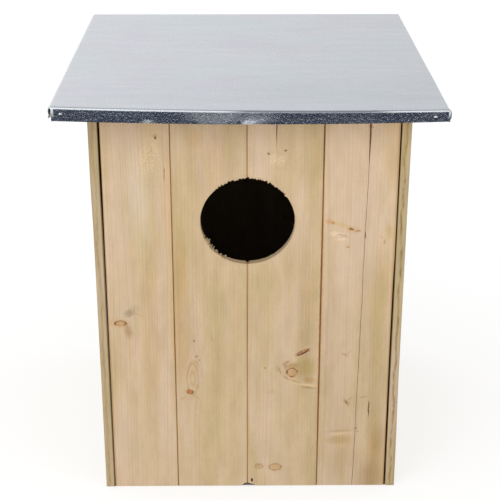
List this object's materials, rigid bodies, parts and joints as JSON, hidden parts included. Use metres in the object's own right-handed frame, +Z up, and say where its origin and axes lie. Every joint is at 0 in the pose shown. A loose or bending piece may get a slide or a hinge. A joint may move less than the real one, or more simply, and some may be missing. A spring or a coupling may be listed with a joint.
{
  "type": "birdhouse",
  "caption": "Large wooden nest box of tongue-and-groove boards with a round entrance hole, a front flap on pivot screws and an overhanging sloped roof of folded galvanised sheet.",
  "frame": {"origin": "on the ground, under the centre of the roof", "axes": "+Z up; +Y towards the back wall, which goes against a tree or a wall; the entrance faces -Y; +X to the right of a person who faces the entrance"},
  "size_m": [0.482, 0.4803, 0.5814],
  "materials": {
    "pine_front": "planed, untreated",
    "pine_wall": "planed, untreated",
    "pine_rough": "sawn, untreated",
    "galvanised_sheet": "hot-dip galvanised, satin",
    "steel_nail": "bright zinc",
    "zinc_screw": "zinc plated"
  },
  "bodies": {
    "box": {"back_board_1": "pine_wall", "back_board_2": "pine_wall", "back_board_3": "pine_wall", "back_board_4": "pine_wall", "back_bottom_batten": "pine_rough", "back_nails": "steel_nail", "back_top_batten": "pine_rough", "corner_nails": "steel_nail", "deck_board_1": "pine_rough", "deck_board_2": "pine_rough", "deck_board_3": "pine_rough", "deck_board_4": "pine_rough", "deck_board_5": "pine_rough", "deck_nails": "steel_nail", "floor_board_1": "pine_rough", "floor_board_2": "pine_rough", "floor_board_3": "pine_rough", "floor_board_4": "pine_rough", "floor_board_5": "pine_rough", "floor_nails": "steel_nail", "left_floor_bearer": "pine_rough", "left_side_board_1": "pine_wall", "left_side_board_2": "pine_wall", "left_side_board_3": "pine_wall", "left_side_board_4": "pine_wall", "left_side_board_5": "pine_wall", "left_top_batten": "pine_rough", "right_floor_bearer": "pine_rough", "right_side_board_1": "pine_wall", "right_side_board_2": "pine_wall", "right_side_board_3": "pine_wall", "right_side_board_4": "pine_wall", "right_side_board_5": "pine_wall", "right_top_batten": "pine_rough", "roof_nails": "steel_nail", "roof_sheet": "galvanised_sheet", "side_nails": "steel_nail"},
    "flap": {"flap_bottom_batten": "pine_rough", "flap_nails": "steel_nail", "flap_top_batten": "pine_rough", "front_board_1": "pine_front", "front_board_2": "pine_front", "front_board_3": "pine_front", "front_board_4": "pine_front", "pivot_screws": "zinc_screw"}
  },
  "joints": [
    {"name": "flap_hinge", "type": "hinge", "parent": "box", "child": "flap", "pos_m": [0, -0.178, 0.485], "axis": [-1, 0, 0], "range_deg": [0, 105]}
  ]
}
